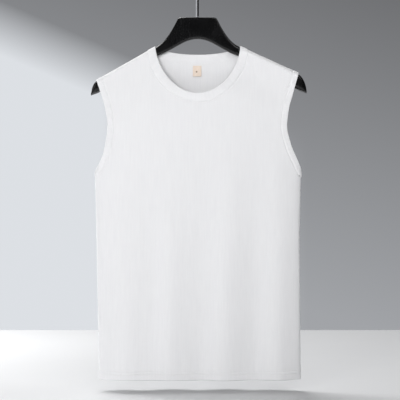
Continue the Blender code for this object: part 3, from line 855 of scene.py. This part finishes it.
def stitch_row(points, normals):
    """Corners of a row of stitches that lie on the points, as rings along each thread."""
    length = length_along(points)
    count = int(length[-1] / STITCH_PITCH)
    middles = (np.arange(count) + 0.5) * length[-1] / count
    ring_at = np.array([-0.5, -0.33, 0.0, 0.33, 0.5]) * STITCH_LENGTH
    rise = np.array([-0.9, 0.35, 0.75, 0.35, -0.9]) * STITCH_RADIUS
    size = np.array([0.55, 0.95, 1.0, 0.95, 0.55]) * STITCH_RADIUS
    place = middles[:, None] + ring_at
    centre, normal = between(place, length, points), unit(between(place, length, normals))
    step = 0.0001
    along = unit(between(middles + step, length, points) - between(middles - step, length, points))
    side = np.cross(normal, along[:, None])
    turn = np.linspace(0.0, 2 * math.pi, STITCH_SIDES, endpoint=False)
    ring = side[:, :, None] * np.cos(turn)[:, None] + normal[:, :, None] * np.sin(turn)[:, None]
    return (centre + normal * rise[:, None])[:, :, None] + ring * size[:, None, None]


def stitches(name, rows, material):
    """All the stitches of one seam as one mesh of small closed threads."""
    rings = np.concatenate([stitch_row(points, normals) for points, normals in rows])
    count, along, around = rings.shape[:3]
    index = np.arange(along * around).reshape(along, around)
    index = np.concatenate((index, index[:, :1]), axis=1)
    one = grid_quads(index)
    faces = [tuple(quad) for quad in one.tolist()]
    faces += [tuple(index[0, :-1].tolist()), tuple(index[-1, -2::-1].tolist())]
    step = along * around
    every = [tuple(corner + step * k for corner in face) for k in range(count) for face in faces]
    made = placed(name, smooth_mesh(name, rings.reshape(-1, 3), every, material))
    start_editing(made)
    end_editing()
    return made


def on_outside(face, pattern):
    """Points on a panel's outer face along a line of its pattern, and their normals."""
    points, normals = on_cloth(face, *pattern.T)
    relief = panel_relief(face, points)
    return points + normals * (WALL + relief)[:, None], normals


def hem_rows():
    """The hem's rows of stitches from side to side, with more places where the sides turn round."""
    reach, places, crowding = 0.9995, 700, 1.3
    shares = np.linspace(-reach, reach, places)
    shares = np.sign(shares) * (1 - (1 - np.abs(shares)) ** crowding)
    rows = []
    for face in (FRONT, BACK):
        for height in HEM_STITCHES:
            z = np.full_like(shares, HEM + height)
            rows.append(on_outside(face, np.stack((shares * half_width(shares, z), z), axis=-1)))
    return rows


# Finishes


def node(tree, kind, values=(), **settings):
    """A shader node with its settings, and its inputs by number or name."""
    made = tree.nodes.new(kind)
    for name, value in settings.items():
        setattr(made, name, value)
    for name, value in dict(values).items():
        if isinstance(value, bpy.types.NodeSocket):
            tree.links.new(value, made.inputs[name])
        else:
            made.inputs[name].default_value = value
    return made


def finish(name, **sockets):
    """A material, and its shader with the plain values of its own sockets."""
    made = bpy.data.materials.new(name)
    made.use_nodes = True
    shader = made.node_tree.nodes["Principled BSDF"]
    for socket, value in sockets.items():
        shader.inputs[socket.replace("_", " ")].default_value = value
    return made, shader


# Each of these puts its nodes into the tree of the value that it is given.


def maths(operation, first, second=0.0):
    return node(first.id_data, "ShaderNodeMath", {0: first, 1: second}, operation=operation).outputs[0]


def wave(place, pitch):
    """A sine along a coordinate with the given pitch."""
    return maths("SINE", maths("MULTIPLY", place, 2 * math.pi / pitch))


def noise(place, scale, detail=3.0, roughness=0.55):
    values = {"Vector": place, "Scale": scale, "Detail": detail, "Roughness": roughness}
    return node(place.id_data, "ShaderNodeTexNoise", values).outputs["Fac"]


def ranged(value, low, high, from_low=0.0, from_high=1.0):
    values = {"Value": value, "From Min": from_low, "From Max": from_high, "To Min": low, "To Max": high}
    return node(value.id_data, "ShaderNodeMapRange", values).outputs["Result"]


def drawn_out(place, scale):
    """A coordinate scaled by its axes, so that what follows it is drawn out where the scale is small."""
    return node(place.id_data, "ShaderNodeMapping", {"Vector": place, "Scale": scale}).outputs[0]


def mixed(share, *colours):
    """A colour between two by a share. Each is a plain colour or comes from other nodes."""
    values = {"Factor": share}
    for socket, colour in zip((6, 7), colours):
        values[socket] = colour if isinstance(colour, bpy.types.NodeSocket) else (*colour, 1.0)
    return node(share.id_data, "ShaderNodeMix", values, data_type="RGBA").outputs[2]


def bump(height, distance, strength=1.0, under=None):
    values = {"Strength": strength, "Distance": distance, "Height": height}
    if under is not None:
        values["Normal"] = under
    return node(height.id_data, "ShaderNodeBump", values).outputs["Normal"]


def joined(shader, colour, roughness, normal):
    """Joins the nodes of a finish to its shader."""
    for socket, value in (("Base Color", colour), ("Roughness", roughness), ("Normal", normal)):
        shader.id_data.links.new(value, shader.inputs[socket])


def from_object(shader):
    return node(shader.id_data, "ShaderNodeTexCoord").outputs["Object"]


def from_cloth(shader):
    """The flat place on the cloth, whole and as its parts."""
    tree = shader.id_data
    uv = node(tree, "ShaderNodeUVMap", uv_map="cloth").outputs["UV"]
    parts = node(tree, "ShaderNodeSeparateXYZ", {0: uv}).outputs
    return uv, parts["X"], parts["Y"]


def knitted(name, colour, valley_shade_and_yarn_colour, wale, course, roughness, sheen):
    """A knitted cloth: columns of small loops, with a soft nap and a faint unevenness of the yarn, and
    painted shade in the hollows between the loops.
    """
    made, shader = finish(
        name, Sheen_Weight=sheen, Sheen_Roughness=0.45, Specular_IOR_Level=0.25, IOR=1.45
    )
    shader.inputs["Sheen Tint"].default_value = (1.0, 1.0, 1.0, 1.0)
    uv, across, up = from_cloth(shader)
    columns = wave(across, wale)
    slant = maths("MULTIPLY", maths("ABSOLUTE", wave(across, 2 * wale)), 0.5 * course)
    loops = wave(maths("ADD", up, slant), course)
    height = maths("ADD", maths("MULTIPLY", columns, 0.6), maths("MULTIPLY", loops, 0.4))
    yarn = noise(drawn_out(uv, (1.0, 0.07, 1.0)), 260.0, 4.0, 0.6)
    nap = noise(uv, 1400.0, 2.0, 0.6)
    # Painted shade: the cloth is darker in the hollows between the loops. The yarn's unevenness adds its own
    # real tone.
    painted_loop_shade = ranged(height, 0.0, 0.35, 1.0, -1.0)
    yarn_tone = ranged(yarn, 0.0, 0.4, 0.35, 0.75)
    loop_shade_and_yarn_tone = maths("ADD", painted_loop_shade, yarn_tone)
    rough = ranged(yarn, roughness - 0.06, min(roughness + 0.06, 1.0))
    soft = bump(yarn, 0.0002, 0.3)
    fine = bump(height, 0.00009, 0.8, soft)
    joined(shader, mixed(loop_shade_and_yarn_tone, colour, valley_shade_and_yarn_colour), rough, bump(nap, 0.00005, 0.6, fine))
    return made


def spun_thread(name, light, dark, scale, low_rough, high_rough):
    """Sewing thread with its twist."""
    made, shader = finish(name, Sheen_Weight=0.1, Specular_IOR_Level=0.4)
    twist = noise(from_object(shader), scale, 2.0)
    rough = ranged(twist, low_rough, high_rough)
    joined(shader, mixed(twist, light, dark), rough, bump(twist, 0.0001, 0.6))
    return made


def cream_tape():
    """Woven tape, a little stained."""
    made, shader = finish("cream_tape", Sheen_Weight=0.15, Specular_IOR_Level=0.35)
    uv, across, up = from_cloth(shader)
    weave = maths("MULTIPLY", wave(across, 0.0007), wave(up, 0.0005))
    stain = noise(uv, 160.0, 3.0)
    weave_shade = ranged(weave, 0.0, 0.3, -1.0, 1.0)
    stain_shade = ranged(stain, 0.0, 0.7, 0.3, 0.8)
    colour = mixed(maths("ADD", weave_shade, stain_shade), (0.90, 0.78, 0.68), (0.80, 0.66, 0.54))
    joined(shader, colour, ranged(stain, 0.6, 0.8), bump(weave, 0.00008, 0.7))
    return made


def black_plastic():
    """Moulded black plastic with a fine skin, duller patches and light scuffs."""
    made, shader = finish(
        "black_plastic", Specular_IOR_Level=0.5, IOR=1.46, Coat_Weight=0.12, Coat_Roughness=0.10
    )
    place = from_object(shader)
    skin = noise(place, 420.0, 2.0)
    patches = noise(place, 22.0, 4.0, 0.6)
    scuffs = noise(drawn_out(place, (1.0, 1.0, 0.15)), 240.0, 6.0, 0.7)
    worn = ranged(scuffs, 0.0, 1.0, 0.56, 0.72)
    colour = mixed(worn, (0.0022, 0.0022, 0.0025), (0.0055, 0.0055, 0.006))
    patched = ranged(patches, 0.2, 0.32, 0.3, 0.7)
    rough = maths("ADD", patched, maths("MULTIPLY", worn, 0.12))
    joined(shader, colour, rough, bump(skin, 0.00006, 0.35))
    return made


def bright_steel():
    """Bright drawn wire with faint lines and a few dull spots."""
    made, shader = finish("bright_steel", Metallic=1.0, Specular_IOR_Level=0.5)
    place = from_object(shader)
    spots = noise(place, 300.0, 4.0, 0.6)
    lines = noise(drawn_out(place, (1.0, 1.0, 0.05)), 2200.0)
    colour = mixed(spots, (0.80, 0.80, 0.82), (0.66, 0.66, 0.69))
    joined(shader, colour, ranged(spots, 0.10, 0.24, 0.3, 0.75), bump(lines, 0.00002, 0.4))
    return made


def pale_floor():
    """A pale smooth floor, faintly clouded."""
    made, shader = finish("pale_floor", Specular_IOR_Level=0.3)
    place = from_object(shader)
    cloud = noise(place, 3.0, 4.0)
    colour = mixed(cloud, (0.80, 0.805, 0.812), (0.76, 0.765, 0.775))
    grain = bump(noise(place, 120.0), 0.0004, 0.2)
    joined(shader, colour, ranged(cloud, 0.45, 0.6), grain)
    return made


# Hard pieces, shaped with the editing tools


def disc(corners, radius, height=0.0):
    """A flat round face, the start of a hard piece."""
    bpy.ops.object.select_all(action="DESELECT")
    bpy.ops.mesh.primitive_circle_add(
        vertices=corners, radius=radius, fill_type="NGON", location=(0, 0, height)
    )
    return bpy.context.view_layer.objects.active


def settled(made, name, material):
    """Names a finished piece, gives it its material and puts its place into its mesh."""
    only(made)
    bpy.ops.object.transform_apply(location=True, rotation=True, scale=True)
    made.name = made.data.name = name
    made.data.materials.clear()
    made.data.materials.append(material)
    return made


def hanger_body(material):
    """The moulded hanger: the plain solid's form, its loose faces joined and its turns made round."""
    only(frame["nodes"]["hanger"])
    bpy.ops.object.duplicate()
    made = bpy.context.view_layer.objects.active
    world = made.matrix_world.copy()
    made.parent = None
    made.matrix_world = world
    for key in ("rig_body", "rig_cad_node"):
        del made[key]
    start_editing(made)
    bpy.ops.mesh.remove_doubles(threshold=0.00002)
    bpy.ops.mesh.tris_convert_to_quads(face_threshold=0.7, shape_threshold=1.2)
    end_editing()
    rounding = made.modifiers.new("rounding", "SUBSURF")
    rounding.levels = rounding.render_levels = 2
    bpy.ops.object.modifier_apply(modifier=rounding.name)
    bpy.ops.object.shade_smooth_by_angle(angle=math.radians(60))
    return settled(made, "moulded_hanger", material)


WIRE_RADIUS = 0.0031
WIRE_SIDES = 28
HOOK_RADIUS = 0.0175  # inside the loop
HOOK_FLARE = math.radians(62)  # how far the stem turns out before the loop
HOOK_END = math.radians(202)  # where the wire ends, round the loop from its right side
HOOK_FOOT = -0.0896
STEM_STEPS, FLARE_STEPS, LOOP_STEPS = 6, 16, 72
TIP_TURNS = (0, 25, 50, 70, 83)  # degrees of the rounding at the wire's end


def wire_hook(material):
    """The bent wire hook: a round section drawn up its stem, spun out and spun round its loop."""
    loop = HOOK_RADIUS + WIRE_RADIUS
    middle = -HOOK_RADIUS
    flare = loop * math.cos(HOOK_FLARE) / (1 - math.cos(HOOK_FLARE))
    stem_top = middle - (loop + flare) * math.sin(HOOK_FLARE)
    made = disc(WIRE_SIDES, WIRE_RADIUS, HOOK_FOOT)
    bpy.ops.object.transform_apply(location=True, rotation=True, scale=True)
    start_editing(made)
    rise = (stem_top - HOOK_FOOT) / STEM_STEPS
    for _ in range(STEM_STEPS):
        raise_up(rise)
    axis = (0, -1, 0)
    bpy.ops.mesh.spin(steps=FLARE_STEPS, angle=HOOK_FLARE, center=(flare, 0, stem_top), axis=axis)
    bpy.ops.mesh.spin(steps=LOOP_STEPS, angle=-HOOK_FLARE - HOOK_END, center=(0, 0, middle), axis=axis)
    heading = HOOK_END + math.pi / 2
    ahead = (math.cos(heading), 0.0, math.sin(heading))
    tip = (loop * math.cos(HOOK_END), 0.0, middle + loop * math.sin(HOOK_END))
    turned = [math.radians(step) for step in TIP_TURNS]
    for before, now in zip(turned, turned[1:]):
        step = WIRE_RADIUS * (math.sin(now) - math.sin(before))
        tip = tuple(place + step * way for place, way in zip(tip, ahead))
        bpy.ops.mesh.extrude_region_move(TRANSFORM_OT_translate={"value": tuple(step * way for way in ahead)})
        size = math.cos(now) / math.cos(before)
        bpy.ops.transform.resize(value=(size, size, size), center_override=tip)
    bpy.ops.mesh.select_all(action="SELECT")
    bpy.ops.mesh.remove_doubles(threshold=0.00001)
    end_editing()
    bpy.ops.object.shade_smooth_by_angle(angle=math.radians(50))
    return settled(made, "wire_hook", material)


LABEL = {"middle": -0.0006, "width": 0.0180, "top": -0.1915, "height": 0.0220, "wall": 0.0009}
LABEL_LIFT = 0.0011  # off the cloth at its foot
LABEL_CURL = 0.0010  # at its right side
LABEL_BOW = 0.0004  # along its middle
LABEL_ROUND = 0.0004
LABEL_COLUMNS, LABEL_ROWS = 26, 30
CURL_START = 0.45  # across the label


def label_place(x, z):
    """Points of the label's face towards the front, and their normals.

    It lifts off the cloth towards its foot and curls at one side."""
    points, normals = on_cloth(BACK, x, z)
    down = (LABEL["top"] - z) / LABEL["height"]
    across = (x - LABEL["middle"]) / LABEL["width"] + 0.5
    curl = LABEL_CURL * ease((across - CURL_START) / (1 - CURL_START)) * ease(down * 1.5)
    bow = LABEL_BOW * np.sin(math.pi * across) * ease(down * 2)
    lift = SEAM_GAP + LABEL_LIFT * ease(down) + curl + bow
    return points - normals * (lift + LABEL["wall"])[..., None], normals


def neck_label(material):
    """A folded tape sewn in under the back of the neckband."""
    across, down = crowded(LABEL_COLUMNS, (0.6, 0.6)), crowded(LABEL_ROWS, (0.5, 0.7))
    x = LABEL["middle"] + LABEL["width"] * (across - 0.5)
    z = LABEL["top"] - LABEL["height"] * down
    x, z = (place.ravel() for place in np.meshgrid(x, z))
    near, normals = label_place(x, z)
    edge = np.minimum(z - LABEL["top"] + LABEL["height"], LABEL["width"] / 2 - np.abs(x - LABEL["middle"]))
    half = LABEL["wall"] / 2
    out, inn = fold_round(edge, half, -half, LABEL_ROUND)
    centre = near + normals * half
    front, back = centre - normals * out[:, None], centre - normals * inn[:, None]
    quads = grid_quads(np.arange(len(x)).reshape(len(down), len(across)))
    uv = np.stack((LABEL_LAY["across"] + x - LABEL["middle"], LABEL_LAY["up"] + z - LABEL["top"]), axis=1)
    return thin_wall("neck_label", front, back, quads, material, uv, LABEL_LAY["inside"])


MARK = {"across": -0.0017, "height": -0.2038, "radius": 0.0019, "rise": 0.0003, "sunk": 0.0001}
MARK_CORNERS = 40


def label_mark(material):
    """A plain round mark in satin stitch on the label."""
    spot, normal = label_place(np.array([MARK["across"]]), np.array([MARK["height"]]))
    made = disc(MARK_CORNERS, MARK["radius"])
    start_editing(made)
    raise_up(MARK["rise"] * 0.6)
    bpy.ops.mesh.inset(thickness=MARK["radius"] * 0.18, depth=MARK["rise"] * 0.3)
    bpy.ops.mesh.inset(thickness=MARK["radius"] * 0.30, depth=MARK["rise"] * 0.1)
    end_editing()
    bpy.ops.object.shade_smooth_by_angle(angle=math.radians(50))
    towards = -normal[0]
    made.rotation_mode = "QUATERNION"
    made.rotation_quaternion = Vector(towards).to_track_quat("Z", "X")
    made.location = spot[0] - towards * MARK["sunk"]
    return settled(made, "label_mark", material)


# The garment
jersey = knitted("white_jersey", (0.86, 0.86, 0.87), (0.78, 0.78, 0.80), 0.00110, 0.00085, 0.88, 0.20)
rib = knitted("white_rib", (0.87, 0.87, 0.88), (0.79, 0.79, 0.81), 0.00105, 0.00090, 0.88, 0.22)
trim = knitted("white_trim", (0.87, 0.87, 0.88), (0.79, 0.79, 0.81), 0.00100, 0.00085, 0.88, 0.22)
thread = spun_thread("white_thread", (0.86, 0.86, 0.87), (0.74, 0.74, 0.75), 2500.0, 0.45, 0.65)
mark_thread = spun_thread("brown_thread", (0.44, 0.32, 0.24), (0.28, 0.20, 0.15), 1800.0, 0.5, 0.75)

front = panel("front_cloth", FRONT, jersey)
back = panel("back_cloth", BACK, jersey)
collar = neckband("neck_rib", rib)
arm_bands = {side: armhole_band(f"arm_trim_{side}", side, trim) for side in SIDES}

hem_sewing = stitches("hem_stitches", hem_rows(), thread)
neck_rows, arm_rows = [], {side: [] for side in SIDES}
for face in (FRONT, BACK):
    for name, (seam, row) in sewn_lines(face).items():
        line = on_outside(face, row)
        (neck_rows if name == "neck" else arm_rows[name]).append(line)
neck_sewing = stitches("neck_stitches", neck_rows, thread)
arm_sewing = {side: stitches(f"arm_stitches_{side}", arm_rows[side], thread) for side in SIDES}

tape = neck_label(cream_tape())
mark = label_mark(mark_thread)
hanger = hanger_body(black_plastic())
hook = wire_hook(bright_steel())

for piece, slot, solid in (
    (front, "jersey", "front_panel"),
    (back, "jersey", "back_panel"),
    (collar, "rib", "neckband"),
    (arm_bands["left"], "trim", "armhole_band_left"),
    (arm_bands["right"], "trim", "armhole_band_right"),
    (tape, "label", "label"),
    (hanger, "plastic", "hanger"),
    (hook, "steel", "hook"),
    (hem_sewing, "jersey", None),
    (neck_sewing, "rib", None),
    (arm_sewing["left"], "trim", None),
    (arm_sewing["right"], "trim", None),
    (mark, "label", None),
):
    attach(piece, "root")
    if solid:
        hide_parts(solid)

# Studio: a pale floor, soft light mostly from the front, and a sky that is paler on the left
FLOOR_TOP = -0.8750
FLOOR_BACK = 1.308
FLOOR_WIDTH, FLOOR_DEPTH, FLOOR_WALL = 9.0, 4.6, 0.04
bpy.ops.object.select_all(action="DESELECT")
bpy.ops.mesh.primitive_plane_add(size=1.0)
floor = bpy.context.view_layer.objects.active
floor.name = floor.data.name = "floor"
floor.scale = (FLOOR_WIDTH, FLOOR_DEPTH, 1.0)
floor.location = (0.0, FLOOR_BACK - FLOOR_DEPTH / 2, FLOOR_TOP)
bpy.ops.object.transform_apply(location=True, rotation=True, scale=True)
start_editing(floor)
raise_up(-FLOOR_WALL)
end_editing()
floor.data.materials.append(pale_floor())


def soft_light(name, place, target, size, power, colour=(1.0, 1.0, 1.0), reflected=True):
    data = bpy.data.lights.new(name, "AREA")
    data.shape = "RECTANGLE"
    data.size, data.size_y = size
    data.energy = power
    data.color = colour
    made = placed(name, data)
    made.location = place
    made.rotation_euler = (Vector(target) - Vector(place)).to_track_quat("-Z", "Y").to_euler()
    made.visible_glossy = reflected


# Each light has its place, what it points at, its size and its power. The fills show in no reflection.
soft_light("window_light", (-2.3, -1.9, 0.7), (0.0, 0.0, -0.45), (1.8, 1.8), 8.0, colour=(1.0, 0.995, 0.99))
soft_light("front_light", (1.3, -2.5, 1.6), (0.0, 0.0, -0.5), (2.2, 1.2), 30.0)
soft_light("side_fill", (-1.0, -2.6, 0.1), (0.0, 0.0, -0.4), (0.8, 0.6), 27.0, reflected=False)
soft_light("middle_fill", (0.0, -2.75, 0.3), (0.0, 0.0, -0.4), (0.8, 0.6), 14.0, reflected=False)
soft_light("floor_light", (-0.9, 1.4, 1.9), (-0.4, 0.7, -0.85), (2.2, 1.4), 66.0)
soft_light("corner_light", (-1.3, 0.8, -0.2), (-0.7, 0.8, -0.85), (0.6, 0.6), 10.0)

# The sky is pale on the left under a slanting edge, darker to the top and the right, and weakest in front
world = bpy.data.worlds.new("studio")
bpy.context.scene.world = world
world.use_nodes = True
sky = world.node_tree
ways = node(sky, "ShaderNodeSeparateXYZ", {0: node(sky, "ShaderNodeTexCoord").outputs["Generated"]}).outputs
slope = maths("ADD", maths("MULTIPLY", ways["X"], 0.42), ways["Z"])
below = ranged(slope, 1.0, 0.0, 0.045, 0.085)
leftward = ranged(ways["X"], 1.0, 0.0, -0.075, 0.08)
height = maths("ADD", maths("MULTIPLY", ways["X"], 0.3), ways["Z"])
grey = mixed(ranged(height, 0.0, 1.0, -0.058, 0.202), (0.36, 0.37, 0.39), (0.155, 0.158, 0.165))
dark = mixed(ranged(ways["X"], 0.0, 1.0, 0.15, 0.5), grey, (0.02, 0.02, 0.022))
light = mixed(maths("MULTIPLY", below, leftward), dark, (0.72, 0.745, 0.78))
sky.links.new(light, sky.nodes["Background"].inputs["Color"])
sky.links.new(ranged(ways["Y"], 0.16, 1.0, -0.6, 0.9), sky.nodes["Background"].inputs["Strength"])

camera_data = bpy.data.cameras.new("camera")
camera_data.lens = 120.0
camera_data.sensor_width = 36.0
camera = placed("camera", camera_data)
camera.location = (0.0055, -2.8, -0.4743)
camera.rotation_euler = (math.pi / 2, 0.0, 0.0)
bpy.context.scene.camera = camera
bpy.context.scene.view_settings.view_transform = "Standard"
